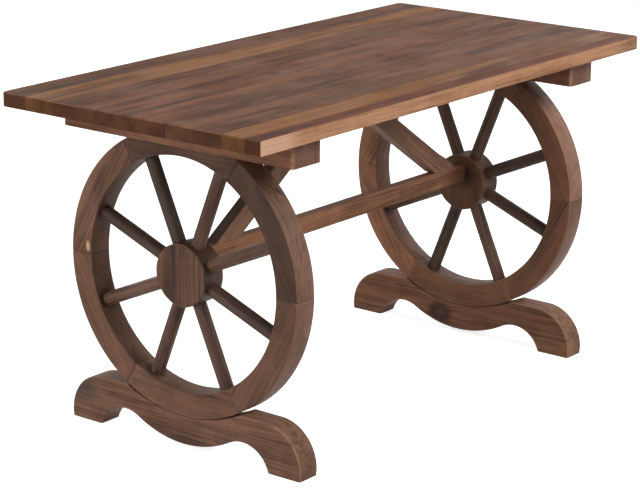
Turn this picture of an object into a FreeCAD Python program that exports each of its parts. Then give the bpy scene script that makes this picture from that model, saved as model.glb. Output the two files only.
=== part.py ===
import FreeCAD, Part
import math
import os
import Sketcher
from FreeCAD import Placement, Rotation, Vector

# A dining table whose rectangular top rests on two wagon wheels. Each wheel stands in the
# cradle of a serpentine foot and carries a cross batten, and a stretcher with two raking
# braces ties the hubs together below the top.
#
# Frame: origin on the floor under the middle of the top, X along the top, Y across it
# and parallel to the wheels, Z up. All lengths are in millimetres.

doc = FreeCAD.newDocument("WagonWheelTable")
sheet = doc.addObject("Spreadsheet::Sheet", "Sizes")

# Driving dimensions: alias, value, what it measures.
DIMENSIONS = [
    ("top_length", 1400, "tabletop along X"),
    ("top_width", 700, "tabletop along Y"),
    ("top_thickness", 30, "thickness of the edge-glued boards"),
    ("top_overhang", 190, "from the middle of a wheel to the end of the tabletop"),
    ("top_corner_radius", 14, "rounding of the tabletop corners, seen from above"),
    ("edge_ease", 2, "small chamfer along the visible edges"),
    ("batten_setback", 37.5, "from the end of a batten to the edge of the tabletop"),
    ("batten_width", 92, "cross batten along X"),
    ("batten_height", 60, "cross batten along Z"),
    ("batten_corner", 6, "chamfer of the upright edges at the batten ends"),
    ("rim_radius", 310, "outer radius of the wheel rim"),
    ("rim_depth", 55, "rim, from its outer to its inner face"),
    ("rim_thickness", 57, "rim along the wheel axis"),
    ("rim_housing", 31, "how far the rim is let into the batten"),
    ("seat_clearance", 0.2, "gap around the rim in the batten and in the foot"),
    ("hub_radius", 68, "outer radius of the hub"),
    ("hub_length", 60, "hub along the wheel axis"),
    ("spoke_diameter", 30, "round spokes"),
    ("spoke_tenon_width", 20, "spoke tenons along the wheel axis"),
    ("spoke_tenon_thickness", 14, "spoke tenons around the wheel"),
    ("hub_tenon_length", 20, "spoke tenon let into the hub"),
    ("rim_tenon_length", 25, "spoke tenon let into the rim"),
    ("tongue_thickness", 12, "loose tongues that join the felloes, along the wheel axis"),
    ("tongue_width", 30, "loose tongues that join the felloes, across the rim"),
    ("tongue_length", 32, "loose tongues that join the felloes, around the rim"),
    ("foot_length", 642, "foot along Y"),
    ("foot_thickness", 57, "foot along X"),
    ("foot_shoulder_height", 108, "top of the shoulders above the floor"),
    ("foot_seat_height", 71, "lowest point of the cradle above the floor"),
    ("foot_cradle_radius", 350, "hollow of the cradle, flatter than the rim that rests in it"),
    ("foot_belly_height", 8, "lowest point between the pads above the floor"),
    ("foot_pad_length", 86, "flat pad along Y at each end of the foot"),
    ("foot_toe_radius", 92, "rounding from the shoulder down to the floor"),
    ("foot_arch_radius", 73, "rounding of the arch beside each pad"),
    ("foot_arch_height", 50, "highest point of the arch above the floor"),
    ("foot_ease", 3, "softened edges of the foot"),
    ("stretcher_height", 42, "stretcher along Z"),
    ("stretcher_thickness", 25, "stretcher along Y"),
    ("stretcher_rise", 26, "middle of the stretcher above the wheel axis"),
    ("stretcher_tenon_length", 20, "stretcher tenon let into the hub"),
    ("stretcher_tenon_height", 24, "stretcher tenon along Z"),
    ("stretcher_tenon_thickness", 12, "stretcher tenon along Y"),
    ("brace_width", 45, "brace, square to its own length"),
    ("brace_thickness", 32, "brace along Y"),
    ("brace_setback", 40, "from the hub face to the upper edge of the brace"),
    ("brace_flat", 3, "level cut of each brace under the top"),
    ("mortise_clearance", 0.1, "gap around a tenon or a tongue in its mortise"),
    ("blind_gap", 1, "room left at the bottom of a mortise"),
    ("overrun", 20, "how far a cutting shape runs past the solid it cuts"),
]

# Widths of the boards from the front edge to the back edge, as shares of the top width.
BOARD_WIDTH_SHARES = [0.057, 0.086, 0.103, 0.104, 0.136, 0.136, 0.150, 0.126, 0.102]

FELLOE_COUNT = 6
SPOKE_COUNT = 8
FELLOE_ANGLE = 360 / FELLOE_COUNT
SPOKE_ANGLE = 360 / SPOKE_COUNT
QUARTER_TURN = 90
HALF_TURN = 180
# The first spoke points this many degrees above the level.
FIRST_SPOKE_ANGLE = 21.3
# Numbers that differ by less than this are taken as equal.
TOLERANCE = 1e-4


class Size:
    """A length that carries its number together with the sheet formula it comes from."""

    def __init__(self, number, formula):
        self.number = number
        self.formula = formula

    def combine(self, sign, other, number):
        formula = other.formula if isinstance(other, Size) else repr(other)
        return Size(number, f"({self.formula} {sign} {formula})")

    def __add__(self, other):
        return self.combine("+", other, self.number + number_of(other))

    def __sub__(self, other):
        return self.combine("-", other, self.number - number_of(other))

    def __mul__(self, other):
        return self.combine("*", other, self.number * number_of(other))

    def __truediv__(self, other):
        return self.combine("/", other, self.number / number_of(other))

    def __neg__(self):
        return Size(-self.number, f"(-1 * {self.formula})")


def number_of(length):
    return length.number if isinstance(length, Size) else length


def root(area):
    return Size(math.sqrt(area.number), f"sqrt({area.formula})")


ZERO = Size(0, "0")
size = {}
for row, (alias, number, note) in enumerate(DIMENSIONS, start=1):
    sheet.set(f"A{row}", alias)
    sheet.set(f"B{row}", str(number))
    sheet.setAlias(f"B{row}", alias)
    sheet.set(f"C{row}", note)
    size[alias] = Size(number, f"Sizes.{alias}")
doc.recompute()

# Levels and radii that several pieces share.
rim_inner_radius = size["rim_radius"] - size["rim_depth"]
rim_middle_radius = size["rim_radius"] - size["rim_depth"] / 2
axle_height = size["foot_seat_height"] + size["rim_radius"]
batten_underside = axle_height + size["rim_radius"] - size["rim_housing"]
top_underside = batten_underside + size["batten_height"]
stretcher_level = axle_height + size["stretcher_rise"]
stretcher_top = stretcher_level + size["stretcher_height"] / 2
wheel_place = size["top_length"] / 2 - size["top_overhang"]
hub_face_place = wheel_place - size["hub_length"] / 2
seat_radius = size["rim_radius"] + size["seat_clearance"]
spoke_foot = size["hub_radius"] - size["hub_tenon_length"]
spoke_tip = rim_inner_radius + size["rim_tenon_length"]


# Helpers for bodies, sketches and features.
def bind(thing, name, length):
    thing.setExpression(name, length.formula)


def place(thing, x=ZERO, y=ZERO, z=ZERO, rotation=None):
    """Puts a piece in the shared frame, its position bound to the sheet."""
    base = Vector(x.number, y.number, z.number)
    thing.Placement = Placement(base, rotation or Rotation())
    bind(thing, "Placement.Base.x", x)
    bind(thing, "Placement.Base.y", y)
    bind(thing, "Placement.Base.z", z)
    return thing


def about_x(angle):
    return Rotation(Vector(1, 0, 0), angle)


def new_body(label):
    body = doc.addObject("PartDesign::Body", label)
    body.Label = label
    return body


def new_sketch(body, name, role, offset=ZERO, rotation=None):
    """A sketch on an origin plane of its body, moved along the normal of that plane."""
    sketch = body.newObject("Sketcher::SketchObject", f"{body.Name}_{name}")
    plane = [item for item in body.Origin.OriginFeatures if item.Role == role][0]
    sketch.AttachmentSupport = [(plane, "")]
    sketch.MapMode = "FlatFace"
    turned = rotation or Rotation()
    sketch.AttachmentOffset = Placement(Vector(0, 0, offset.number), turned)
    bind(sketch, "AttachmentOffset.Base.z", offset)
    return sketch


def fix_point(sketch, geometry, end, x, y):
    """Ties a point of the sketch to lengths from its origin."""
    for kind, axis, length in (("DistanceX", -2, x), ("DistanceY", -1, y)):
        if abs(length.number) < TOLERANCE:
            sketch.addConstraint(Sketcher.Constraint("PointOnObject", geometry, end, axis))
        elif length.number > 0:
            index = sketch.addConstraint(
                Sketcher.Constraint(kind, -1, 1, geometry, end, length.number))
            sketch.setExpression(f"Constraints[{index}]", length.formula)
        else:
            index = sketch.addConstraint(
                Sketcher.Constraint(kind, geometry, end, -1, 1, -length.number))
            sketch.setExpression(f"Constraints[{index}]", (-length).formula)


def draw_outline(sketch, points, arcs):
    """A closed outline; arcs maps a segment number to its centre, radius and turn."""
    starts = []
    ends = []
    for number, (x, y) in enumerate(points):
        next_x, next_y = points[(number + 1) % len(points)]
        first = Vector(x.number, y.number, 0)
        last = Vector(next_x.number, next_y.number, 0)
        if number not in arcs:
            geometry = sketch.addGeometry(Part.LineSegment(first, last))
            starts.append((geometry, 1))
            ends.append((geometry, 2))
            continue
        centre_x, centre_y, radius, anticlockwise = arcs[number]
        centre = Vector(centre_x.number, centre_y.number, 0)
        circle = Part.Circle(centre, Vector(0, 0, 1), radius.number)
        if anticlockwise:
            low, high = first - centre, last - centre
        else:
            low, high = last - centre, first - centre
        arc = Part.ArcOfCircle(circle, math.atan2(low.y, low.x), math.atan2(high.y, high.x))
        geometry = sketch.addGeometry(arc)
        starts.append((geometry, 1 if anticlockwise else 2))
        ends.append((geometry, 2 if anticlockwise else 1))
    for number, (x, y) in enumerate(points):
        sketch.addConstraint(Sketcher.Constraint("Coincident", *ends[number - 1], *starts[number]))
        fix_point(sketch, *starts[number], x, y)
        if number in arcs:
            radius = arcs[number][2]
            index = sketch.addConstraint(
                Sketcher.Constraint("Radius", starts[number][0], radius.number))
            sketch.setExpression(f"Constraints[{index}]", radius.formula)


def draw_rectangle(sketch, width, height, y=ZERO):
    right = width / 2
    left = -right
    low = y - height / 2
    high = y + height / 2
    draw_outline(sketch, [(left, low), (right, low), (right, high), (left, high)], {})


def draw_circle(sketch, radius, y=ZERO):
    circle = Part.Circle(Vector(0, y.number, 0), Vector(0, 0, 1), radius.number)
    geometry = sketch.addGeometry(circle)
    fix_point(sketch, geometry, 3, ZERO, y)
    index = sketch.addConstraint(Sketcher.Constraint("Radius", geometry, radius.number))
    sketch.setExpression(f"Constraints[{index}]", radius.formula)


def add_feature(body, kind, name, sketch, length, middle=False, backwards=False):
    """A pad or pocket of one sketch; backwards turns it to the other side of the sketch."""
    feature = body.newObject(f"PartDesign::{kind}", f"{body.Name}_{name}")
    feature.Profile = sketch
    feature.Midplane = middle
    feature.Reversed = backwards
    feature.Length = length.number
    bind(feature, "Length", length)
    return feature


def pad(body, name, sketch, length, middle=False):
    return add_feature(body, "Pad", name, sketch, length, middle=middle)


def cut_mortise(body, name, sketch, width, height, depth, y=ZERO, backwards=False):
    """A rectangular mortise, wider than its tenon by the clearance on each side."""
    gap = size["mortise_clearance"] * 2
    draw_rectangle(sketch, width + gap, height + gap, y=y)
    return add_feature(body, "Pocket", name, sketch, depth, backwards=backwards)


def dress_edges(body, kind, name, amount, chosen):
    """A chamfer or fillet on the edges of the tip that the test chooses."""
    doc.recompute()
    base = body.Tip
    names = [f"Edge{number}" for number, edge in enumerate(base.Shape.Edges, start=1)
             if chosen(edge)]
    feature = body.newObject(f"PartDesign::{kind}", f"{body.Name}_{name}")
    feature.Base = (base, names)
    size_name = "Size" if kind == "Chamfer" else "Radius"
    bind(feature, size_name, amount)
    return feature


def near(first, second):
    return abs(first - second) < TOLERANCE


# Tabletop: edge-glued boards that run along X.
def board_spans():
    """Front edge, back edge and middle of every board, from the front to the back."""
    spans = []
    share = 0
    for width_share in BOARD_WIDTH_SHARES:
        front = size["top_width"] * (share - 0.5)
        share = share + width_share
        back = size["top_width"] * (share - 0.5)
        spans.append((front, back, (front + back) / 2))
    return spans


def make_board(number, front, back, middle):
    body = new_body(f"top_board_{number}")
    half_length = size["top_length"] / 2
    half_width = (back - front) / 2
    outline = new_sketch(body, "outline", "XY_Plane")
    draw_rectangle(outline, size["top_length"], back - front)
    pad(body, "board", outline, size["top_thickness"])
    is_front = number == 1
    is_back = number == len(BOARD_WIDTH_SHARES)

    def is_round_corner(edge):
        if edge.BoundBox.ZLength < size["top_thickness"].number / 2:
            return False
        centre = edge.BoundBox.Center
        if is_front:
            return centre.y < 0 < centre.x
        return is_back and centre.y > 0

    def is_outer_top_edge(edge):
        box = edge.BoundBox
        if not (near(box.ZMin, size["top_thickness"].number) and near(box.ZLength, 0)):
            return False
        at_end = near(abs(box.Center.x), half_length.number)
        at_front = is_front and box.Center.y < -half_width.number / 2
        at_back = is_back and box.Center.y > half_width.number / 2
        return at_end or at_front or at_back

    if is_front or is_back:
        dress_edges(body, "Fillet", "corners", size["top_corner_radius"], is_round_corner)
    dress_edges(body, "Chamfer", "ease", size["edge_ease"], is_outer_top_edge)
    place(body, y=middle, z=top_underside)
    return body


# Cross battens, housed over the tops of the wheels.
def make_batten(label, side):
    body = new_body(label)
    half_x = size["batten_width"] / 2
    half_y = size["top_width"] / 2 - size["batten_setback"]
    cut = size["batten_corner"]
    outline = new_sketch(body, "outline", "XY_Plane")
    draw_outline(outline, [
        (-half_x, -half_y + cut), (-half_x + cut, -half_y),
        (half_x - cut, -half_y), (half_x, -half_y + cut),
        (half_x, half_y - cut), (half_x - cut, half_y),
        (-half_x + cut, half_y), (-half_x, half_y - cut)], {})
    pad(body, "bar", outline, size["batten_height"])
    housing = new_sketch(body, "housing_sketch", "YZ_Plane")
    draw_circle(housing, seat_radius, y=axle_height - batten_underside)
    width = size["rim_thickness"] + size["seat_clearance"] * 2
    add_feature(body, "Pocket", "housing", housing, width, middle=True)
    place(body, x=wheel_place * side, z=batten_underside)
    return body


# Wheels: six felloes, eight spokes and a hub each.
def spoke_angles():
    return [FIRST_SPOKE_ANGLE + SPOKE_ANGLE * number for number in range(SPOKE_COUNT)]


def make_felloe(label, side, number):
    """One sixth of the rim, drawn upright and then turned to its place."""
    body = new_body(label)
    middle_angle = FELLOE_ANGLE * (number + 0.5)
    section = new_sketch(body, "section", "XZ_Plane")
    draw_rectangle(section, size["rim_thickness"], size["rim_depth"], y=rim_middle_radius)
    arc = body.newObject("PartDesign::Revolution", f"{body.Name}_arc")
    arc.Profile = section
    arc.ReferenceAxis = (section, ["H_Axis"])
    arc.Midplane = True
    arc.Angle = FELLOE_ANGLE

    for spoke, angle in enumerate(spoke_angles(), start=1):
        turn = angle - middle_angle
        if abs(turn) < FELLOE_ANGLE / 2:
            name = f"mortise_{spoke}"
            sketch = new_sketch(body, f"{name}_sketch", "XY_Plane", rotation=about_x(turn))
            cut_mortise(body, name, sketch, size["spoke_tenon_width"],
                        size["spoke_tenon_thickness"], spoke_tip + size["blind_gap"],
                        backwards=True)
    for turn, name in ((-1, "low_groove"), (1, "high_groove")):
        joint = new_sketch(body, f"{name}_sketch", "XZ_Plane",
                           rotation=about_x(FELLOE_ANGLE / 2 * turn))
        cut_mortise(body, name, joint, size["tongue_thickness"], size["tongue_width"],
                    size["tongue_length"] / 2 + size["blind_gap"],
                    y=rim_middle_radius, backwards=turn < 0)
    place(body, x=wheel_place * side, z=axle_height,
          rotation=about_x(middle_angle - QUARTER_TURN))
    return body


def make_spoke(label, side, angle):
    """A round spoke whose shoulders follow the hub and the rim, with a tenon at each end."""
    body = new_body(label)
    reach = spoke_tip - spoke_foot
    section = new_sketch(body, "section", "XY_Plane", spoke_foot)
    draw_circle(section, size["spoke_diameter"] / 2)
    pad(body, "shaft", section, reach)
    hub = new_sketch(body, "hub_sketch", "YZ_Plane")
    draw_circle(hub, size["hub_radius"])
    add_feature(body, "Pocket", "hub_shoulder", hub, size["rim_thickness"], middle=True)
    rim = new_sketch(body, "rim_sketch", "YZ_Plane")
    draw_circle(rim, rim_inner_radius)
    draw_circle(rim, size["rim_radius"])
    add_feature(body, "Pocket", "rim_shoulder", rim, size["rim_thickness"], middle=True)
    tenon = new_sketch(body, "tenon_section", "XY_Plane", spoke_foot)
    draw_rectangle(tenon, size["spoke_tenon_width"], size["spoke_tenon_thickness"])
    pad(body, "tenons", tenon, reach)
    place(body, x=wheel_place * side, z=axle_height, rotation=about_x(angle - QUARTER_TURN))
    return body


def make_hub(label, side):
    """The hub is drawn with one spoke mortise upright, which then turns to the first spoke."""
    body = new_body(label)
    disc = new_sketch(body, "disc", "YZ_Plane")
    draw_circle(disc, size["hub_radius"])
    pad(body, "barrel", disc, size["hub_length"], middle=True)
    dress_edges(body, "Chamfer", "ease", size["edge_ease"],
                lambda edge: isinstance(edge.Curve, Part.Circle))
    floor = spoke_foot - size["blind_gap"]
    upright = new_sketch(body, "spoke_mortise_sketch", "XY_Plane", floor)
    mortise = cut_mortise(body, "spoke_mortise", upright, size["spoke_tenon_width"],
                          size["spoke_tenon_thickness"],
                          size["hub_radius"] + size["overrun"] - floor, backwards=True)
    doc.recompute()
    ring = body.newObject("PartDesign::PolarPattern", f"{body.Name}_spoke_mortises")
    ring.Originals = [mortise]
    axis = [item for item in body.Origin.OriginFeatures if item.Role == "X_Axis"][0]
    ring.Axis = (axis, [""])
    ring.Angle = HALF_TURN * 2
    ring.Occurrences = SPOKE_COUNT
    body.Tip = ring
    turn = -FIRST_SPOKE_ANGLE * side
    sideways = new_sketch(body, "stretcher_mortise_sketch", "YZ_Plane", size["hub_length"] / 2,
                          Rotation(Vector(0, 0, 1), -turn))
    cut_mortise(body, "stretcher_mortise", sideways, size["stretcher_tenon_thickness"],
                size["stretcher_tenon_height"],
                size["stretcher_tenon_length"] + size["blind_gap"], y=size["stretcher_rise"])
    turned = Rotation(Vector(0, 0, 1), 0 if side < 0 else HALF_TURN)
    place(body, x=wheel_place * side, z=axle_height, rotation=turned * about_x(turn))
    return body


def make_felloe_tongues(label, side):
    """The loose tongues of one wheel, as one group of separate solids."""
    tongues = []
    for number in range(FELLOE_COUNT):
        angle = FELLOE_ANGLE * number
        tongue = doc.addObject("Part::Box", f"{label}_{number + 1}")
        bind(tongue, "Length", size["tongue_thickness"])
        bind(tongue, "Width", size["tongue_width"])
        bind(tongue, "Height", size["tongue_length"])
        outward = rim_middle_radius - size["tongue_width"] / 2
        around = size["tongue_length"] / 2
        cosine = math.cos(math.radians(angle))
        sine = math.sin(math.radians(angle))
        place(tongue, x=wheel_place * side - size["tongue_thickness"] / 2,
              y=outward * cosine + around * sine,
              z=axle_height + outward * sine - around * cosine,
              rotation=about_x(angle))
        tongues.append(tongue)
    compound = doc.addObject("Part::Compound", label)
    compound.Label = label
    compound.Links = tongues
    return compound


# Serpentine feet.
def make_foot(label, side):
    body = new_body(label)
    toe = size["foot_toe_radius"]
    toe_y = size["foot_length"] / 2 - toe
    toe_z = size["foot_shoulder_height"] - toe
    toe_end = toe_y + root(toe * toe - toe_z * toe_z)
    pad_end = toe_end - size["foot_pad_length"]
    arch = size["foot_arch_radius"]
    arch_z = size["foot_arch_height"] - arch
    arch_y = pad_end - root(arch * arch - arch_z * arch_z)
    drop = size["foot_belly_height"] - arch_z
    belly = (arch_y * arch_y + drop * drop - arch * arch) / (arch - drop) / 2
    belly_z = size["foot_belly_height"] + belly
    meet_share = arch / (arch + belly)
    meet_y = arch_y - arch_y * meet_share
    meet_z = arch_z + (belly_z - arch_z) * meet_share
    shoulder = size["foot_shoulder_height"]
    cradle = size["foot_cradle_radius"]
    cradle_z = axle_height + cradle - seat_radius
    rise = cradle_z - shoulder
    cradle_y = root(cradle * cradle - rise * rise)
    outline = new_sketch(body, "outline", "YZ_Plane")
    draw_outline(outline, [
        (pad_end, ZERO), (toe_end, ZERO), (toe_y, shoulder), (cradle_y, shoulder),
        (-cradle_y, shoulder), (-toe_y, shoulder), (-toe_end, ZERO), (-pad_end, ZERO),
        (-meet_y, meet_z), (meet_y, meet_z)], {
        1: (toe_y, toe_z, toe, True),
        3: (ZERO, cradle_z, cradle, False),
        5: (-toe_y, toe_z, toe, True),
        7: (-arch_y, arch_z, arch, False),
        8: (ZERO, belly_z, belly, True),
        9: (arch_y, arch_z, arch, False)})
    pad(body, "plank", outline, size["foot_thickness"], middle=True)

    def is_soft_edge(edge):
        box = edge.BoundBox
        at_face = near(abs(box.Center.x), size["foot_thickness"].number / 2)
        in_cradle = near(box.YMax, cradle_y.number)
        on_floor = near(box.ZMax, 0)
        return at_face and near(box.XLength, 0) and not in_cradle and not on_floor

    dress_edges(body, "Chamfer", "soft_edges", size["foot_ease"], is_soft_edge)
    place(body, x=wheel_place * side)
    return body


# Stretcher from hub to hub and the two braces that rise from it to the top.
def make_stretcher(label):
    body = new_body(label)
    section = new_sketch(body, "section", "YZ_Plane")
    draw_rectangle(section, size["stretcher_thickness"], size["stretcher_height"])
    pad(body, "bar", section, hub_face_place * 2, middle=True)
    dress_edges(body, "Chamfer", "ease", size["edge_ease"],
                lambda edge: edge.BoundBox.XLength > hub_face_place.number)
    tenon = new_sketch(body, "tenon_section", "YZ_Plane")
    draw_rectangle(tenon, size["stretcher_tenon_thickness"], size["stretcher_tenon_height"])
    reach = hub_face_place + size["stretcher_tenon_length"]
    pad(body, "tenons", tenon, reach * 2, middle=True)
    place(body, z=stretcher_level)
    return body


def make_brace(label, side):
    """A raking brace, flush with the front of the stretcher, mitred under the middle of the top."""
    body = new_body(label)
    foot_upper = hub_face_place - size["brace_setback"]
    climb = top_underside - stretcher_top
    slope = climb / (foot_upper - size["brace_flat"])
    drop = size["brace_width"] * root(slope * slope + 1)
    foot_lower = foot_upper - drop / slope
    mitre_low = top_underside - drop + size["brace_flat"] * slope
    outline = new_sketch(body, "outline", "XZ_Plane")
    draw_outline(outline, [
        (foot_lower * side, stretcher_top), (foot_upper * side, stretcher_top),
        (size["brace_flat"] * side, top_underside), (ZERO, top_underside),
        (ZERO, mitre_low)], {})
    pad(body, "plank", outline, size["brace_thickness"], middle=True)

    def is_long_edge(edge):
        return edge.Length > foot_lower.number and near(edge.BoundBox.YLength, 0)

    dress_edges(body, "Chamfer", "ease", size["edge_ease"], is_long_edge)
    place(body, y=(size["brace_thickness"] - size["stretcher_thickness"]) / 2)
    return body


# The whole table.
pieces = []
for number, (front, back, middle) in enumerate(board_spans(), start=1):
    pieces.append(make_board(number, front, back, middle))
for end, side in (("left", -1), ("right", 1)):
    pieces.append(make_batten(f"{end}_batten", side))
    pieces.append(make_foot(f"{end}_foot", side))
    pieces.append(make_hub(f"{end}_hub", side))
    for number in range(FELLOE_COUNT):
        pieces.append(make_felloe(f"{end}_felloe_{number + 1}", side, number))
    for number, angle in enumerate(spoke_angles(), start=1):
        pieces.append(make_spoke(f"{end}_spoke_{number}", side, angle))
    pieces.append(make_felloe_tongues(f"{end}_felloe_tongues", side))
    pieces.append(make_brace(f"{end}_brace", side))
pieces.append(make_stretcher("stretcher"))
doc.recompute()

for thing in doc.Objects:
    if "Invalid" in thing.State or "Error" in thing.State:
        raise RuntimeError(f"{thing.Label} did not build: {thing.State}")
for piece in pieces:
    if piece.Shape.isNull() or not piece.Shape.isValid():
        raise RuntimeError(f"{piece.Label} has no valid shape")

os.makedirs("parts", exist_ok=True)
for piece in pieces:
    piece.Shape.exportStep(f"parts/{piece.Label}.step")
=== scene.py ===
import math

import bmesh
import bpy
from mathutils import Matrix, Vector


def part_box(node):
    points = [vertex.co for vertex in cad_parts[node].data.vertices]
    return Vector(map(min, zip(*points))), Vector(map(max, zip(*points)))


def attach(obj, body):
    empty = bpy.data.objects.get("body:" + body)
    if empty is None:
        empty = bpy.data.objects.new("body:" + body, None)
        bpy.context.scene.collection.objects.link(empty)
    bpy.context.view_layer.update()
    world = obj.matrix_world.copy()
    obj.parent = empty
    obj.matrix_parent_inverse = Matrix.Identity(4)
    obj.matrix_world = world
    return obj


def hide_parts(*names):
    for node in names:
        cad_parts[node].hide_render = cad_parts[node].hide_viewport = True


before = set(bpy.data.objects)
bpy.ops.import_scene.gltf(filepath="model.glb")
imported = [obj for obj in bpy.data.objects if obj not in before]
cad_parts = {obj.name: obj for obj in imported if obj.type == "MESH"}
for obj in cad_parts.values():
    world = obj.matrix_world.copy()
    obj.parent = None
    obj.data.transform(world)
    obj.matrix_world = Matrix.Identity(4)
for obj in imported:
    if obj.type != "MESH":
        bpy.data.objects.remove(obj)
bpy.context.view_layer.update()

# Looks of the wagon wheel table: stained reclaimed pine. The figure is drawn in the solid,
# so that the grain of every piece runs the way its timber was cut. Lengths are in metres.

# The photograph's camera, but without its lens shift, fitted to points all over the table.
CAMERA_PLACE = Vector((-3.972, -3.048, 1.758))
CAMERA_TURN = math.radians(52.02)
CAMERA_TILT = math.radians(15.96)
CAMERA_ROLL = math.radians(0.41)
PHOTO_WIDTH = 640
FOCAL_PIXELS = 2301.0
SENSOR_WIDTH = 36.0

# The studio. The camera sees the floor and the world as white, and the table gets little light
# from them.
FLOOR_REACH = 14.0
FLOOR_GLOW = 0.76
FLOOR_ROUGHNESS = 0.9
PAPER_SEEN = 0.98
PAPER_LIT = 0.30
WORLD_SEEN = 1.0
WORLD_LIGHT = 0.16
LIGHT_TARGET = Vector((0, 0, 0.5))
# Softboxes: place, width, height and watts.
SOFTBOXES = {
    "front_softbox": ((0.4, -3.9, 3.0), 2.8, 2.0, 195),
    "left_softbox": ((-4.2, 0.5, 1.4), 2.8, 1.8, 80),
    "back_softbox": ((0.8, 4.4, 1.5), 3.0, 1.8, 75),
    "right_softbox": ((4.4, 0.6, 1.4), 2.8, 1.8, 38),
}

# Directions of the grain, and of the thickness of a piece.
ALONG_X = Vector((1, 0, 0))
ALONG_Y = Vector((0, 1, 0))
ALONG_Z = Vector((0, 0, 1))
# Faces that look away from an axis.
AROUND_X = Vector((0, 1, 1))
AROUND_Y = Vector((1, 0, 1))

SIDES = ("left", "right")
# The way to the middle of the table, along X.
INWARD = {"left": 1, "right": -1}
FELLOE_COUNT = 6
SPOKE_COUNT = 8
FIRST_SPOKE_ANGLE = math.radians(21.3)

# Rounding of the felloes. Edges sharper than a corner are rounded, and shading stays crisp at
# those sharper than a crease.
FELLOE_EASE = 0.0016
EASE_STEPS = 2
ROUND_PROFILE = 0.5
WELD_DISTANCE = 0.00001
FLAT_ANGLE = math.radians(1)
CORNER_ANGLE = math.radians(45)
CREASE_ANGLE = math.radians(40)
ON_FACE_DISTANCE = 0.0001
SAME_RADIUS_DISTANCE = 0.0005


def srgb(red, green, blue):
    """A colour given as 0 to 255 display values, in linear light."""
    def linear(value):
        share = value / 255
        return share / 12.92 if share <= 0.04045 else ((share + 0.055) / 1.055) ** 2.4
    return (linear(red), linear(green), linear(blue), 1.0)


def grey(value):
    """A grey given in linear light."""
    return (value, value, value, 1.0)


def shaded(color, shade):
    """A colour made darker or lighter."""
    return (color[0] * shade, color[1] * shade, color[2] * shade, 1.0)


def middle_of(node):
    """The middle of a CAD node's box."""
    low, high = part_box(node)
    return (low + high) / 2


class Graph:
    """Short calls for building shader nodes in one tree."""

    def __init__(self, tree):
        self.tree = tree

    def add(self, kind, inputs=(), **settings):
        """A new node with its settings made and its inputs fed."""
        node = self.tree.nodes.new(kind)
        for name, value in settings.items():
            setattr(node, name, value)
        for name, value in dict(inputs).items():
            self.feed(node.inputs[name], value)
        return node

    def feed(self, socket, value):
        """Links a socket to another one, or sets its number or colour."""
        if isinstance(value, bpy.types.NodeSocket):
            self.tree.links.new(value, socket)
        else:
            socket.default_value = value

    def math(self, operation, *values, clamp=False):
        node = self.add("ShaderNodeMath", operation=operation, use_clamp=clamp)
        for socket, value in zip(node.inputs, values):
            self.feed(socket, value)
        return node.outputs[0]

    def total(self, *values, clamp=False):
        """The sum of the values, kept between 0 and 1 by clamp."""
        result = values[0]
        for number, value in enumerate(values[1:], start=2):
            result = self.math("ADD", result, value, clamp=clamp and number == len(values))
        return result

    def product(self, *values):
        result = values[0]
        for value in values[1:]:
            result = self.math("MULTIPLY", result, value)
        return result

    def largest(self, *values):
        result = values[0]
        for value in values[1:]:
            result = self.math("MAXIMUM", result, value)
        return result

    def vector(self, operation, *values):
        node = self.add("ShaderNodeVectorMath", operation=operation)
        for socket, value in zip(node.inputs, values):
            self.feed(socket, value)
        is_number = operation in ("LENGTH", "DOT_PRODUCT")
        return node.outputs["Value" if is_number else "Vector"]

    def scaled(self, vector, factors):
        return self.vector("MULTIPLY", vector, factors)

    def noise(self, vector, detail, roughness):
        return self.add("ShaderNodeTexNoise", {
            "Vector": vector, "Scale": 1.0, "Detail": detail, "Roughness": roughness}).outputs

    def noise_along(self, value, scale):
        """Noise of one number."""
        return self.add("ShaderNodeTexNoise", {
            "W": value, "Scale": scale, "Detail": 1.0},
            noise_dimensions="1D").outputs["Fac"]

    def ramp(self, value, low, high, new_low=0.0, new_high=1.0):
        """A smooth change from new_low to new_high while the value goes from low to high."""
        return self.add("ShaderNodeMapRange", {
            "Value": value, "From Min": low, "From Max": high,
            "To Min": new_low, "To Max": new_high},
            interpolation_type="SMOOTHSTEP").outputs["Result"]

    def mix(self, factor, first, second):
        """A colour between two others."""
        node = self.add("ShaderNodeMix", data_type="RGBA")
        self.feed(node.inputs[0], factor)
        colors = [socket for socket in node.inputs if socket.type == "RGBA"]
        self.feed(colors[0], first)
        self.feed(colors[1], second)
        return next(socket for socket in node.outputs if socket.type == "RGBA")


# Inputs and outputs of the pine figure, with the kinds of their sockets.
GROUP_INPUTS = {
    "Place": "Vector",
    "Ring Spacing": "Float",
    "Ring Depth": "Float",
    "Streaks": "Float",
    "Bands": "Float",
    "Knot": "Vector",
    "Knot Radius": "Float",
    "Light Wood": "Color",
    "Dark Wood": "Color",
    "Accent": "Color",
    "Accent Share": "Float",
    "Wear": "Float",
    # Dark joints, and painted shade round the spokes.
    "Seam": "Float",
    "End Grain": "Float",
    "Patch": "Float",
    "Patch Color": "Color",
}
GROUP_OUTPUTS = {"Color": "Color", "Roughness": "Float", "Height": "Float"}

# Noises of the figure: waves per metre along the grain and across it, detail and roughness.
NOISES = {
    "slow": (1.3, 6.0, 1.0, 0.5),
    "band": (1.6, 24.0, 2.0, 0.55),
    "streak": (4.5, 150.0, 3.0, 0.62),
    "fibre": (16.0, 620.0, 2.0, 0.6),
    "cloud": (5.0, 11.0, 4.0, 0.6),
    "ripple": (38.0, 9.0, 2.0, 0.5),
}
# What noises do to the depth of the stain: the noise's low and high, and the swing to each side.
DEPTH_SWINGS = {
    "streak": (0.34, 0.66, 0.50),
    "band": (0.36, 0.64, 0.50),
    "cloud": (0.32, 0.68, 0.20),
    "ripple": (0.34, 0.66, 0.06),
    "fibre": (0.35, 0.65, 0.10),
}
BASE_DEPTH = 0.36
NEAR_KNOT_DEPTH = 0.18
END_GRAIN_STREAKS = 0.25

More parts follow.
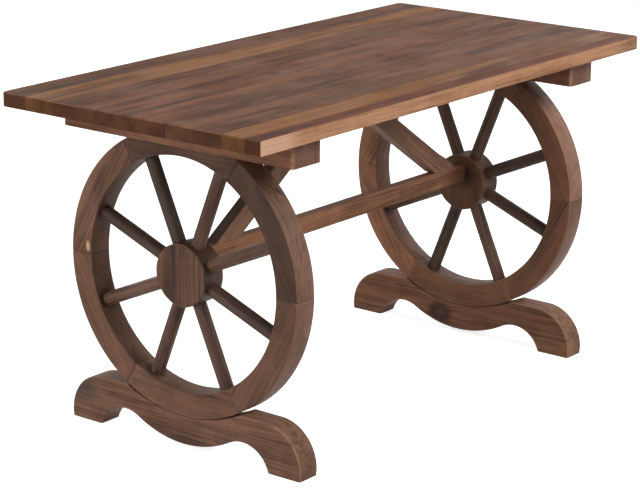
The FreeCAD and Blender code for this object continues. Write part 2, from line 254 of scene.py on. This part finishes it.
# Factors that keep the part of a vector across the grain, and the middle of a noise.
ACROSS_GRAIN = (0.0, 1.0, 1.0)
NOISE_MIDDLE = (0.5, 0.5, 0.5)

# Growth rings. A range is the low and high of a value and what they become.
RING_BEND = 0.05
RING_DRIFT = 3.0
RING_DRIFT_WAVES = 60.0
LATE_WOOD_POWER = 1.8
LATE_WOOD_END = (1.0, 0.86)
YEAR_WAVES = 0.77
YEAR_RANGE = (0.30, 0.65, 0.35, 1.9)

# A knot: its stretch along the grain, its push on the rings, and where its surroundings, core
# and rim begin and are full, in shares of its radius.
KNOT_STRETCH = 0.55
KNOT_PUSH = 1.3
KNOT_LEAST_RADIUS = 0.0001
KNOT_SURROUNDINGS = (4.5, 0.7)
KNOT_CORE_EDGE = (1.15, 0.85)
KNOT_RIM_EDGES = ((1.9, 1.1), (0.55, 0.95))
KNOT_COVER = 0.75

# Cover and ranges of the stains over the figure.
PORE_RANGE = (0.60, 0.72)
PORE_COVER = 0.28
ACCENT_RANGE = (0.62, 0.40)
ACCENT_SHARE = 0.30
END_STAIN_RANGE = (0.32, 0.68, 0.56, 0.78)
RUBBED_RANGE = (0.40, 0.62, 0.06, 0.36)
RUBBED_BARE_SHARE = 0.45
PATCH_RANGE = (0.30, 0.55, 0.55, 1.0)
BARE_WOOD = srgb(226, 184, 146)
# Dark stain of pores and joints, which also serves as painted shade round the spokes.
DARK_STAIN_AND_SHADE = srgb(30, 18, 14)
KNOT_CORE = srgb(50, 29, 20)
KNOT_RIM = srgb(24, 14, 10)
END_GRAIN_STAIN = srgb(72, 43, 28)

# Roughness, and the relief in shares of its full height.
ROUGHNESS_RANGE = (0.32, 0.70, 0.56, 0.70)
LATE_WOOD_POLISH = -0.05
LATE_WOOD_RELIEF = 0.5
FIBRE_RELIEF = 0.4
PORE_RELIEF = -0.5
SEAM_RELIEF = -1.5
RELIEF_HEIGHT = 0.0003


def figure_noise(g, place, name):
    """The outputs of one noise of the figure."""
    along, across, detail, roughness = NOISES[name]
    return g.noise(g.scaled(place, (along, across, across)), detail, roughness)


def knot_masks(g, place, start):
    """A knot's surroundings, core and rim. It is a branch that grows outwards from the pith."""
    branch = g.vector("NORMALIZE", g.scaled(start["Knot"], ACROSS_GRAIN))
    offset = g.vector("SUBTRACT", place, start["Knot"])
    offset = g.scaled(offset, (KNOT_STRETCH, 1.0, 1.0))
    distance = g.vector("LENGTH", g.vector("CROSS_PRODUCT", offset, branch))
    radius = g.math("MAXIMUM", start["Knot Radius"], KNOT_LEAST_RADIUS)
    share = g.math("DIVIDE", distance, radius)
    rim_outside, rim_inside = KNOT_RIM_EDGES
    rim = g.product(g.ramp(share, *rim_outside), g.ramp(share, *rim_inside))
    return g.ramp(share, *KNOT_SURROUNDINGS), g.ramp(share, *KNOT_CORE_EDGE), rim


def late_wood(g, place, start, near_knot):
    """Dark wood of the rings, bent by slow waves along the grain and pushed aside by a knot."""
    slow = figure_noise(g, place, "slow")["Color"]
    bend = g.scaled(g.vector("SUBTRACT", slow, NOISE_MIDDLE), (0.0, RING_BEND, RING_BEND))
    radius = g.vector("LENGTH", g.scaled(g.vector("ADD", place, bend), ACROSS_GRAIN))
    radius = g.total(radius, g.product(near_knot, start["Knot Radius"], KNOT_PUSH))
    phase = g.math("DIVIDE", radius, start["Ring Spacing"])
    phase = g.total(phase, g.product(g.noise_along(radius, RING_DRIFT_WAVES), RING_DRIFT))
    ring = g.math("FRACT", phase)
    late = g.product(g.math("POWER", ring, LATE_WOOD_POWER), g.ramp(ring, *LATE_WOOD_END))
    year = g.noise_along(g.math("FLOOR", phase), YEAR_WAVES)
    return g.product(late, g.ramp(year, *YEAR_RANGE))


def pine_group():
    """A solid block of pine: rings around the local X axis, streaks, fibres and one knot."""
    group = bpy.data.node_groups.new("pine_figure", "ShaderNodeTree")
    for name, kind in GROUP_INPUTS.items():
        group.interface.new_socket(name, in_out="INPUT", socket_type=f"NodeSocket{kind}")
    for name, kind in GROUP_OUTPUTS.items():
        group.interface.new_socket(name, in_out="OUTPUT", socket_type=f"NodeSocket{kind}")
    g = Graph(group)
    start = g.add("NodeGroupInput").outputs
    place = start["Place"]
    near_knot, knot_core, knot_rim = knot_masks(g, place, start)
    late = late_wood(g, place, start, near_knot)

    # Bands of stain along the grain, narrow streaks, clouds, ripples across it and fine fibres.
    noises = {name: figure_noise(g, place, name)["Fac"] for name in DEPTH_SWINGS}
    swings = {}
    for name, (low, high, swing) in DEPTH_SWINGS.items():
        swings[name] = g.ramp(noises[name], low, high, -swing, swing)
    pore = g.ramp(noises["fibre"], *PORE_RANGE)

    # Streaks are cut short on end grain, so they hardly show there.
    side_grain = g.ramp(start["End Grain"], 0.0, 1.0, 1.0, END_GRAIN_STREAKS)
    depth = g.total(
        BASE_DEPTH,
        g.product(late, start["Ring Depth"]),
        g.product(swings["streak"], start["Streaks"], side_grain),
        g.product(swings["band"], start["Bands"]),
        swings["cloud"],
        swings["ripple"],
        swings["fibre"],
        g.product(near_knot, NEAR_KNOT_DEPTH), clamp=True)
    color = g.mix(depth, start["Light Wood"], start["Dark Wood"])
    accent = g.product(g.ramp(noises["band"], *ACCENT_RANGE), start["Accent Share"])
    color = g.mix(accent, color, start["Accent"])
    color = g.mix(g.product(pore, PORE_COVER), color, DARK_STAIN_AND_SHADE)
    color = g.mix(g.product(knot_core, KNOT_COVER), color, KNOT_CORE)
    color = g.mix(g.product(knot_rim, KNOT_COVER), color, KNOT_RIM)

    # End grain drinks more stain than the sides of a piece.
    end_stain = g.product(start["End Grain"], g.ramp(noises["cloud"], *END_STAIN_RANGE))
    color = g.mix(end_stain, color, END_GRAIN_STAIN)

    # Rubbed edges are paler where the wood was touched most, joints hold dark stain, and the rims
    # get painted shade round the spokes.
    rubbed = g.product(start["Wear"], g.ramp(noises["cloud"], *RUBBED_RANGE))
    color = g.mix(rubbed, color, g.mix(RUBBED_BARE_SHARE, start["Light Wood"], BARE_WOOD))
    color = g.mix(start["Seam"], color, DARK_STAIN_AND_SHADE)
    patch = g.product(start["Patch"], g.ramp(noises["streak"], *PATCH_RANGE))
    color = g.mix(patch, color, start["Patch Color"])

    roughness = g.ramp(noises["cloud"], *ROUGHNESS_RANGE)
    roughness = g.total(roughness, g.product(late, LATE_WOOD_POLISH))
    height = g.total(
        g.product(late, LATE_WOOD_RELIEF),
        g.product(noises["fibre"], FIBRE_RELIEF),
        g.product(pore, PORE_RELIEF),
        g.product(start["Seam"], SEAM_RELIEF))
    g.add("NodeGroupOutput", {"Color": color, "Roughness": roughness, "Height": height})
    return group


PINE = pine_group()

# Stain tones: light wood, dark wood and the accent that shows in places.
TONES = {
    "red_brown": (srgb(108, 57, 27), srgb(48, 21, 10), srgb(98, 46, 20)),
    "golden": (srgb(152, 102, 62), srgb(84, 51, 30), srgb(160, 104, 55)),
    "grey_brown": (srgb(136, 92, 65), srgb(68, 42, 28), srgb(126, 79, 52)),
    "mid_brown": (srgb(142, 92, 62), srgb(68, 41, 26), srgb(134, 79, 48)),
    "dark_brown": (srgb(124, 80, 53), srgb(54, 32, 20), srgb(112, 65, 38)),
    "frame_grey": (srgb(149, 108, 86), srgb(62, 42, 33), srgb(138, 93, 67)),
    "frame_red": (srgb(153, 107, 81), srgb(68, 43, 31), srgb(144, 93, 62)),
    "tread": (srgb(152, 113, 92), srgb(82, 57, 46), srgb(136, 96, 74)),
    "shoulder": (srgb(149, 110, 86), srgb(80, 53, 41), srgb(140, 96, 69)),
    "spoke": (srgb(120, 90, 74), srgb(46, 31, 26), srgb(100, 70, 54)),
    "rail": (srgb(158, 110, 80), srgb(86, 55, 39), srgb(152, 100, 66)),
    "pale": (srgb(182, 138, 107), srgb(96, 63, 43), srgb(170, 118, 81)),
}

# How far a face turns towards an axis where a look begins and where it is full. Worn edges lie
# between the faces that look along the axis and those that look away from it.
END_GRAIN_LEAN = (0.80, 0.95)
SECOND_TONE_LEAN = (0.55, 0.85)
WEAR_BEGINS = (0.30, 0.55)
WEAR_ENDS = (0.85, 0.98)
NEARLY_UPRIGHT = 0.9

# A seam is fully dark over this share of its width.
SEAM_CORE = 0.3
# Painted shade where the spokes enter a rim: its reach and full core beside a spoke's axis, its
# strength, and where along the axis it begins in the hub and ends inside the rim.
SPOKE_SHADE_WIDTH = (0.030, 0.016)
SPOKE_SHADE_STRENGTH = 0.62
SPOKE_SHADE_START = (0.0, 0.001)
SPOKE_SHADE_END = (0.266, 0.258)

# Colours of the spots on single pieces.
PALE_END = srgb(200, 158, 130)
GREY_STAIN = srgb(86, 68, 60)
# Painted shade on the stretcher's end, and the stretcher's painted shadow on the right hub.
STRETCHER_END_SHADE = srgb(80, 50, 34)
HUB_CONTACT_SHADOW = srgb(48, 27, 18)
# The pale left end of the top's front edge, the bare spot on the inner edge of the left rim, the
# grey stain on the back toe of the left foot, painted shade on the end of the stretcher by the
# right hub and the stretcher's painted shadow on the right hub: place, half size, colour, share
# of the half size under full cover.
PATCHES = {
    "top_board_1": ((-0.665, -0.350, 0.735), (0.105, 0.003, 0.07), PALE_END, 0.30),
    "left_felloe_1": ((-0.5385, 0.2640, 0.398), (0.012, 0.0075, 0.0165), BARE_WOOD, 0.30),
    "left_foot": ((-0.5385, 0.285, 0.070), (0.020, 0.060, 0.052), GREY_STAIN, 0.20),
    # Painted shade and painted shadow where the stretcher meets the right hub.
    "stretcher": ((0.480, -0.0125, 0.407), (0.105, 0.05, 0.06), STRETCHER_END_SHADE, 0.20),
    "right_hub": ((0.480, -0.012, 0.396), (0.010, 0.042, 0.040), HUB_CONTACT_SHADOW, 0.30),
}
# Knots that show: the place on the surface and the radius.
KNOTS = {
    "top_board_6": ((-0.190, 0.033, 0.75), 0.0045),
    "right_foot": ((0.4815, 0.052, 0.042), 0.012),
}


def facing(g, weights, limits):
    """One where the weighted normal is long, so for faces that look along those axes."""
    normal = g.add("ShaderNodeNewGeometry").outputs["True Normal"]
    length = g.vector("LENGTH", g.scaled(normal, tuple(weights)))
    return g.ramp(length, *limits)


def facing_along(g, direction, limits):
    """One for faces that are cut across a direction."""
    normal = g.add("ShaderNodeNewGeometry").outputs["True Normal"]
    share = g.math("ABSOLUTE", g.vector("DOT_PRODUCT", normal, tuple(direction)))
    return g.ramp(share, *limits)


def seam_mask(g, place, seams):
    """Dark lines where planes cut the surface: a point, a normal, half a width, a strength."""
    lines = []
    for point, normal, half_width, strength in seams:
        offset = g.vector("SUBTRACT", place, tuple(point))
        distance = g.math("ABSOLUTE", g.vector("DOT_PRODUCT", offset, tuple(normal)))
        lines.append(g.ramp(distance, half_width, half_width * SEAM_CORE, 0.0, strength))
    return g.largest(*lines)


def spoke_shade_mask(g, place, sockets):
    """Painted shade where spokes enter the inner side of a rim: its middle and their directions.
    """
    rings = []
    for point, direction in sockets:
        offset = g.vector("SUBTRACT", place, tuple(point))
        ahead = g.vector("DOT_PRODUCT", offset, tuple(direction))
        beside = g.vector("LENGTH", g.vector("CROSS_PRODUCT", offset, tuple(direction)))
        rings.append(g.product(
            g.ramp(beside, *SPOKE_SHADE_WIDTH, 0.0, SPOKE_SHADE_STRENGTH),
            g.ramp(ahead, *SPOKE_SHADE_START),
            g.ramp(ahead, *SPOKE_SHADE_END)))
    return g.largest(*rings)


def patch_mask(g, place, middle, half_size, core):
    """A soft oval spot with its core fully covered."""
    offset = g.vector("SUBTRACT", place, middle)
    reach = g.vector("LENGTH", g.vector("DIVIDE", offset, half_size))
    return g.ramp(reach, 1.0, core)


def grain_turn(along):
    """The rotation that lays a direction along the local X axis of the figure."""
    helper = ALONG_X if abs(along.z) > NEARLY_UPRIGHT else ALONG_Z
    side = helper.cross(along).normalized()
    return Matrix((along, side, along.cross(side)))


def wood_material(name, tone, grain, pith, spacing=0.006, ring_depth=0.30, streaks=0.42,
                  bands=0.20, slide=0.0, shade=1.0, seams=(), sockets=(), worn_axis=None,
                  second=None, end_stain=1.0, gloss=0.2):
    """Stained pine with its grain along one direction and its pith through one point.

    The name is that of the CAD node, whose knot and patch it gets. Slide moves the figure along
    the grain. Second is another tone for some faces: the tone, their axes and the shade; where it
    is the piece's own tone with another shade, it paints shade on those faces.
    """
    material = bpy.data.materials.new(name)
    material.use_nodes = True
    g = Graph(material.node_tree)
    shader = material.node_tree.nodes["Principled BSDF"]
    along = Vector(grain).normalized()
    turn = grain_turn(along)
    slid = Vector((slide, 0.0, 0.0))
    place = g.add("ShaderNodeTexCoord").outputs["Object"]
    mapping = g.add("ShaderNodeMapping", {
        "Vector": g.vector("SUBTRACT", place, tuple(pith)),
        "Rotation": tuple(turn.to_euler("XYZ")), "Location": tuple(slid)})

    colors = [shaded(color, shade) for color in TONES[tone]]
    if second:
        other_tone, weights, other_shade = second
        mask = facing(g, weights, SECOND_TONE_LEAN)
        colors = [g.mix(mask, color, shaded(other, other_shade))
                  for color, other in zip(colors, TONES[other_tone])]
    light, dark, accent = colors
    end_grain = g.product(facing_along(g, along, END_GRAIN_LEAN), end_stain)
    # Without a knot of its own, a piece gets one of no size.
    values = {
        "Place": mapping.outputs[0], "Ring Spacing": spacing, "Ring Depth": ring_depth,
        "Streaks": streaks, "Bands": bands, "Knot": tuple(ALONG_Z), "Light Wood": light,
        "Dark Wood": dark, "Accent": accent, "Accent Share": ACCENT_SHARE,
        "End Grain": end_grain}
    if name in KNOTS:
        knot_place, knot_radius = KNOTS[name]
        values["Knot"] = tuple(turn @ (Vector(knot_place) - pith) + slid)
        values["Knot Radius"] = knot_radius
    # Dark lines at the joints, and painted shade round the spokes.
    seams_and_shade = []
    if seams:
        seams_and_shade.append(seam_mask(g, place, seams))
    if sockets:
        seams_and_shade.append(spoke_shade_mask(g, place, sockets))
    if seams_and_shade:
        values["Seam"] = g.largest(*seams_and_shade)
    if worn_axis:
        lean = facing(g, worn_axis, WEAR_BEGINS)
        values["Wear"] = g.math("SUBTRACT", lean, facing(g, worn_axis, WEAR_ENDS))
    if name in PATCHES:
        patch_place, half_size, patch_color, core = PATCHES[name]
        values["Patch"] = patch_mask(g, place, patch_place, half_size, core)
        values["Patch Color"] = patch_color

    figure = g.add("ShaderNodeGroup", node_tree=PINE)
    for socket, value in values.items():
        g.feed(figure.inputs[socket], value)
    bump = g.add("ShaderNodeBump", {
        "Strength": 1.0, "Distance": RELIEF_HEIGHT, "Height": figure.outputs["Height"]})
    g.feed(shader.inputs["Base Color"], figure.outputs["Color"])
    g.feed(shader.inputs["Roughness"], figure.outputs["Roughness"])
    g.feed(shader.inputs["Normal"], bump.outputs["Normal"])
    shader.inputs["Specular IOR Level"].default_value = gloss
    return material


def paint(thing, material):
    """Changes the one material of a mesh object."""
    thing.data.materials[0] = material


def paint_wood(node, *wood, **look):
    """Stains a CAD node as wood."""
    paint(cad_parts[node], wood_material(node, *wood, **look))


def eased_copy(node, width, is_eased):
    """A copy of a CAD node with the chosen sharp edges rounded, shown in its place."""
    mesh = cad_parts[node].data.copy()
    shape = bmesh.new()
    shape.from_mesh(mesh)
    bmesh.ops.remove_doubles(shape, verts=shape.verts, dist=WELD_DISTANCE)
    bmesh.ops.dissolve_limit(
        shape, angle_limit=FLAT_ANGLE, verts=shape.verts, edges=shape.edges)
    chosen = [edge for edge in shape.edges
              if edge.is_manifold and edge.calc_face_angle() > CORNER_ANGLE and is_eased(edge)]
    bmesh.ops.bevel(
        shape, geom=chosen, offset=width, offset_type="OFFSET", segments=EASE_STEPS,
        profile=ROUND_PROFILE, affect="EDGES", clamp_overlap=True)
    bmesh.ops.triangulate(shape, faces=shape.faces)
    shape.to_mesh(mesh)
    shape.free()
    mesh.shade_smooth()
    mesh.set_sharp_from_angle(angle=CREASE_ANGLE)
    thing = bpy.data.objects.new(f"{node}_eased", mesh)
    bpy.context.scene.collection.objects.link(thing)
    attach(thing, "root")
    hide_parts(node)
    return thing


# Tabletop boards from the front to the back: tone, pith beside and below the middle of the
# board, ring spacing, slide along the grain and shade.
BOARD_LOOKS = [
    ("red_brown", (0.012, -0.055), 0.0052, 0.3, 1.0),
    ("golden", (-0.020, -0.050), 0.0060, 1.9, 0.90),
    ("grey_brown", (0.050, -0.060), 0.0058, 3.1, 0.82),
    ("grey_brown", (-0.015, -0.060), 0.0064, 4.7, 0.98),
    ("mid_brown", (0.030, -0.045), 0.0060, 6.4, 0.87),
    ("mid_brown", (-0.045, -0.060), 0.0062, 8.3, 0.86),
    ("dark_brown", (0.010, -0.050), 0.0056, 9.8, 1.05),
    ("golden", (0.025, -0.065), 0.0066, 11.2, 0.96),
    ("dark_brown", (-0.030, -0.040), 0.0054, 13.5, 0.94),
]
# The joint behind the fourth board is open and dark, the others are tight.
OPEN_JOINT_BOARDS = (4, 5)
# Half width and strength of a joint's dark line.
OPEN_JOINT = (0.0022, 0.70)
TIGHT_JOINT = (0.0011, 0.35)
FELLOE_JOINT = (0.0010, 0.14)

# Shades of the felloes, wheel by wheel: of the faces, and of the inner and outer edges. Beside
# their stain they hold painted light and shade: darker under the top and batten and on the inner
# edges, lighter on the back felloes of the right wheel.
FELLOE_SHADES = {
    "left": (
        (0.95, 0.65), (0.44, 0.70), (0.32, 0.70),
        (0.75, 0.82), (0.91, 0.78), (0.87, 0.50)),
    "right": (
        (1.40, 1.00), (0.95, 0.90), (0.90, 0.88),
        (0.97, 0.68), (0.88, 0.76), (1.55, 0.80)),
}
# Shades of the spokes, wheel by wheel, which hold painted shade as well as stain: darker for
# spokes in shade.
SPOKE_SHADES = {
    "left": (0.44, 0.36, 0.94, 1.02, 0.56, 0.68, 1.02, 1.14),
    "right": (1.00, 0.95, 1.10, 0.56, 0.55, 0.98, 0.46, 1.25),
}
# Tone of the wheels and feet.
WHEEL_TONES = {"left": "frame_grey", "right": "frame_red"}
# Shade of the hub's face and of its round side, and how strongly its grain shows. The darker
# round side and the right hub's darker face are painted shade.
HUB_LOOKS = {"left": (0.65, 0.30, 1.0), "right": (0.60, 0.38, 0.5)}
# Shade of the feet's top and ends.
SHOULDER_SHADES = {"left": 0.83, "right": 1.06}
# Shade of the battens, and the tone and shade of their ends.
BATTEN_LOOKS = {"left": (1.07, "frame_grey", 1.0), "right": (1.30, "tread", 1.1)}
# The dark line along the left batten, seen on its end: place beside the middle, half width and
# strength.
BATTEN_LINES = {"left": [(0.0245, 0.0020, 0.9)], "right": []}
# Shades of the braces' broad sides and of their edges. The left brace's dark edges are a painted
# shadow of the top.
BRACE_SHADES = {"left": (0.75, 0.18), "right": (0.95, 0.9)}
# Shades of the stretcher's sides, and of its top and bottom, whose darker shade is painted shade.
STRETCHER_SHADES = (0.87, 0.55)

# Where the pith lies beside the middle of a piece, or of the hub for felloes and spokes. That
# of a felloe is also moved out to one of three radii, and that of a spoke sideways.
PITH_OFFSETS = {
    "felloe": Vector((0.05, 0, 0)),
    "spoke": Vector((0.03, 0, 0)),
    "hub": Vector((0.05, 0.05, 0)),
    "foot": Vector((0.06, 0, -0.10)),
    "batten": Vector((0.03, 0, 0.06)),
    "brace": Vector((0, 0.05, 0)),
    "stretcher": Vector((0, 0.04, -0.04)),
}
FELLOE_PITH_RADIUS = 0.21
FELLOE_PITH_STEP = 0.02
SPOKE_PITH_DISTANCE = 0.02
# Slides along the grain, so that no two pieces show the same figure: from one piece to the next
# in a wheel, and from the left side to the right.
PIECE_SLIDES = {"felloe": 1.7, "spoke": 2.3}
SIDE_SLIDES = {
    "felloe": 11.0, "spoke": 17.0, "hub": 5.0, "foot": 7.0, "batten": 9.0, "brace": 6.0}
BATTEN_FIRST_SLIDE = 3.0


def side_slide(kind, side):
    """The slide of a kind of piece on one side of the table."""
    return SIDE_SLIDES[kind] * SIDES.index(side)


def board_seams(number):
    """The joints of a board of the top with its neighbours."""
    low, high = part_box(f"top_board_{number}")
    seams = []
    for neighbour, edge in ((number - 1, low.y), (number + 1, high.y)):
        if 1 <= neighbour <= len(BOARD_LOOKS):
            is_open = number in OPEN_JOINT_BOARDS and neighbour in OPEN_JOINT_BOARDS
            half_width, strength = OPEN_JOINT if is_open else TIGHT_JOINT
            seams.append((Vector((0, edge, 0)), ALONG_Y, half_width, strength))
    return seams


def paint_top():
    """Stains the boards, with a paler front edge."""
    for number, (tone, (beside, below), spacing, slide, shade) in enumerate(BOARD_LOOKS, start=1):
        node = f"top_board_{number}"
        pith = middle_of(node) + Vector((0, beside, below))
        second = ("pale", ALONG_Y, 1.0) if number == 1 else None
        paint_wood(
            node, tone, ALONG_X, pith, spacing, ring_depth=0.40, streaks=0.44, bands=0.52,
            slide=slide, shade=shade, seams=board_seams(number), worn_axis=ALONG_Z,
            second=second, end_stain=0.9, gloss=0.10)


def outward_from_hub(angle):
    """The direction at an angle in the plane of the wheels."""
    return Vector((0, math.cos(angle), math.sin(angle)))


def spoke_directions():
    return [outward_from_hub(FIRST_SPOKE_ANGLE + math.tau * number / SPOKE_COUNT)
            for number in range(SPOKE_COUNT)]


def is_curved_face_edge(centre, half_depth):
    """A test for the curved edges of a felloe where its two flat faces end."""
    def test(edge):
        first, second = (vertex.co - centre for vertex in edge.verts)
        is_on_face = all(
            abs(abs(point.x) - half_depth) < ON_FACE_DISTANCE for point in (first, second))
        return is_on_face and abs(first.yz.length - second.yz.length) < SAME_RADIUS_DISTANCE
    return test


def paint_felloe(side, number, centre):
    """Shows one felloe with rounded edges, stained joints and painted shade round the spokes."""
    node = f"{side}_felloe_{number + 1}"
    # These shades hold painted light and shade as well as stain.
    shade, edge_shade = FELLOE_SHADES[side][number]
    angle = math.tau * (number + 0.5) / FELLOE_COUNT
    chord = outward_from_hub(angle + math.pi / 2)
    pith_radius = FELLOE_PITH_RADIUS - FELLOE_PITH_STEP * (number % 3)
    pith = centre + outward_from_hub(angle) * pith_radius + PITH_OFFSETS["felloe"]
    seams = []
    for turn in (-0.5, 0.5):
        joint_angle = angle + math.tau * turn / FELLOE_COUNT
        seams.append((centre, outward_from_hub(joint_angle + math.pi / 2), *FELLOE_JOINT))
    low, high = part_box(node)
    thing = eased_copy(
        node, FELLOE_EASE, is_curved_face_edge(centre, (high.x - low.x) / 2))
    paint(thing, wood_material(
        node, WHEEL_TONES[side], chord, pith, spacing=0.0036, ring_depth=0.30, streaks=0.32,
        bands=0.14, slide=PIECE_SLIDES["felloe"] * number + side_slide("felloe", side),
        shade=shade, seams=seams,
        sockets=[(centre, direction) for direction in spoke_directions()],
        worn_axis=ALONG_X, second=("tread", AROUND_X, edge_shade)))


def paint_spoke(side, number, direction, centre):
    across = ALONG_X.cross(direction)
    pith = centre + PITH_OFFSETS["spoke"] + across * SPOKE_PITH_DISTANCE
    paint_wood(
        f"{side}_spoke_{number + 1}", "spoke", direction, pith, spacing=0.0045, streaks=0.55,
        slide=PIECE_SLIDES["spoke"] * number + side_slide("spoke", side),
        shade=SPOKE_SHADES[side][number], gloss=0.25)


def paint_hub(side, centre):
    tone = WHEEL_TONES[side]
    face_shade, side_shade, strength = HUB_LOOKS[side]
    # The round side gets the hub's own tone with a painted shade.
    paint_wood(
        f"{side}_hub", tone, ALONG_Z, centre + PITH_OFFSETS["hub"], spacing=0.010,
        ring_depth=0.40 * strength, streaks=0.45 * strength, bands=0.30 * strength,
        slide=side_slide("hub", side), shade=face_shade, worn_axis=ALONG_X,
        second=(tone, AROUND_X, side_shade))


def paint_wheel(side):
    centre = middle_of(f"{side}_hub")
    for number in range(FELLOE_COUNT):
        paint_felloe(side, number, centre)
    for number, direction in enumerate(spoke_directions()):
        paint_spoke(side, number, direction, centre)
    paint_hub(side, centre)


def paint_foot(side):
    node = f"{side}_foot"
    paint_wood(
        node, WHEEL_TONES[side], ALONG_Y, middle_of(node) + PITH_OFFSETS["foot"],
        spacing=0.0048, streaks=0.50, slide=side_slide("foot", side), worn_axis=ALONG_X,
        second=("shoulder", AROUND_X, SHOULDER_SHADES[side]), end_stain=0.4)


def paint_batten(side):
    node = f"{side}_batten"
    middle = middle_of(node)
    shade, end_tone, end_shade = BATTEN_LOOKS[side]
    seams = [(middle + ALONG_X * beside, ALONG_X, half_width, strength)
             for beside, half_width, strength in BATTEN_LINES[side]]
    paint_wood(
        node, "frame_red", ALONG_Y, middle + PITH_OFFSETS["batten"],
        slide=BATTEN_FIRST_SLIDE + side_slide("batten", side), shade=shade, seams=seams,
        worn_axis=ALONG_Y, second=(end_tone, ALONG_Y, end_shade))


def paint_brace(side):
    """Stains a brace, whose grain rises from the stretcher to the middle of the top."""
    node = f"{side}_brace"
    low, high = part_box(node)
    grain = Vector((INWARD[side] * (high.x - low.x), 0, high.z - low.z))
    shade, edge_shade = BRACE_SHADES[side]
    # The edges get the same tone with another shade, painted shade on the left brace.
    paint_wood(
        node, "shoulder", grain, middle_of(node) + PITH_OFFSETS["brace"],
        slide=side_slide("brace", side), shade=shade, worn_axis=ALONG_Y,
        second=("shoulder", AROUND_Y, edge_shade))


def paint_stretcher():
    shade, edge_shade = STRETCHER_SHADES
    # The top and bottom get the rail tone with a painted shade.
    paint_wood(
        "stretcher", "rail", ALONG_X, middle_of("stretcher") + PITH_OFFSETS["stretcher"],
        shade=shade, worn_axis=ALONG_Y, second=("rail", ALONG_Z, edge_shade))


def paint_tongues(side):
    """Stains the tongues inside the joints of a rim."""
    node = f"{side}_felloe_tongues"
    paint_wood(node, "pale", ALONG_X, middle_of(node))


def add_area_light(name, place, width, height, power):
    """A softbox that looks at the middle of the table."""
    data = bpy.data.lights.new(name, "AREA")
    data.shape = "RECTANGLE"
    data.size = width
    data.size_y = height
    data.energy = power
    light = bpy.data.objects.new(name, data)
    light.location = place
    light.rotation_euler = (LIGHT_TARGET - Vector(place)).to_track_quat("-Z", "Y").to_euler()
    bpy.context.scene.collection.objects.link(light)


def seen_directly(g):
    """One for rays from the camera and for mirrored and bent rays, zero for other light."""
    paths = g.add("ShaderNodeLightPath").outputs
    return g.largest(
        paths["Is Camera Ray"], paths["Is Glossy Ray"], paths["Is Transmission Ray"])


def floor_material():
    """White paper that keeps a light shadow, and gives back little light by itself."""
    material = bpy.data.materials.new("studio_floor")
    material.use_nodes = True
    g = Graph(material.node_tree)
    nodes = material.node_tree.nodes
    shader = nodes["Principled BSDF"]
    direct = seen_directly(g)
    g.feed(shader.inputs["Base Color"], g.mix(direct, grey(PAPER_LIT), grey(PAPER_SEEN)))
    shader.inputs["Roughness"].default_value = FLOOR_ROUGHNESS
    shader.inputs["Specular IOR Level"].default_value = 0.0
    white = g.add("ShaderNodeEmission", {
        "Color": grey(1.0), "Strength": g.product(direct, FLOOR_GLOW)})
    both = g.add("ShaderNodeAddShader")
    g.feed(both.inputs[0], shader.outputs[0])
    g.feed(both.inputs[1], white.outputs[0])
    g.feed(nodes["Material Output"].inputs["Surface"], both.outputs[0])
    return material


def add_floor():
    mesh = bpy.data.meshes.new("floor")
    corners = [(x * FLOOR_REACH, y * FLOOR_REACH, 0)
               for x, y in ((-1, -1), (1, -1), (1, 1), (-1, 1))]
    mesh.from_pydata(corners, [], [(0, 1, 2, 3)])
    mesh.materials.append(floor_material())
    floor = bpy.data.objects.new("floor", mesh)
    bpy.context.scene.collection.objects.link(floor)


def add_world():
    """A white surround that lights the table evenly and weakly."""
    world = bpy.data.worlds.new("studio")
    world.use_nodes = True
    g = Graph(world.node_tree)
    background = world.node_tree.nodes["Background"]
    background.inputs["Color"].default_value = grey(1.0)
    strength = g.add("ShaderNodeMapRange", {
        "Value": seen_directly(g), "To Min": WORLD_LIGHT, "To Max": WORLD_SEEN})
    g.feed(background.inputs["Strength"], strength.outputs["Result"])
    bpy.context.scene.world = world


def add_camera():
    """The photograph's camera, from its place, turn, tilt and roll."""
    forward = Vector((
        math.sin(CAMERA_TURN) * math.cos(CAMERA_TILT),
        math.cos(CAMERA_TURN) * math.cos(CAMERA_TILT),
        -math.sin(CAMERA_TILT)))
    right = Vector((math.cos(CAMERA_TURN), -math.sin(CAMERA_TURN), 0))
    up = right.cross(forward)
    rolled_right = right * math.cos(CAMERA_ROLL) + up * math.sin(CAMERA_ROLL)
    rolled_up = up * math.cos(CAMERA_ROLL) - right * math.sin(CAMERA_ROLL)
    turn = Matrix((rolled_right, rolled_up, -forward)).transposed()
    data = bpy.data.cameras.new("photo_camera")
    data.sensor_width = SENSOR_WIDTH
    data.lens = FOCAL_PIXELS / PHOTO_WIDTH * SENSOR_WIDTH
    camera = bpy.data.objects.new("photo_camera", data)
    camera.matrix_world = Matrix.Translation(CAMERA_PLACE) @ turn.to_4x4()
    bpy.context.scene.collection.objects.link(camera)
    bpy.context.scene.camera = camera


paint_top()
for table_side in SIDES:
    paint_wheel(table_side)
    paint_foot(table_side)
    paint_batten(table_side)
    paint_brace(table_side)
    paint_tongues(table_side)
paint_stretcher()

add_floor()
add_world()
for softbox, (box_place, box_width, box_height, box_watts) in SOFTBOXES.items():
    add_area_light(softbox, box_place, box_width, box_height, box_watts)
add_camera()
bpy.context.scene.view_settings.view_transform = "Standard"
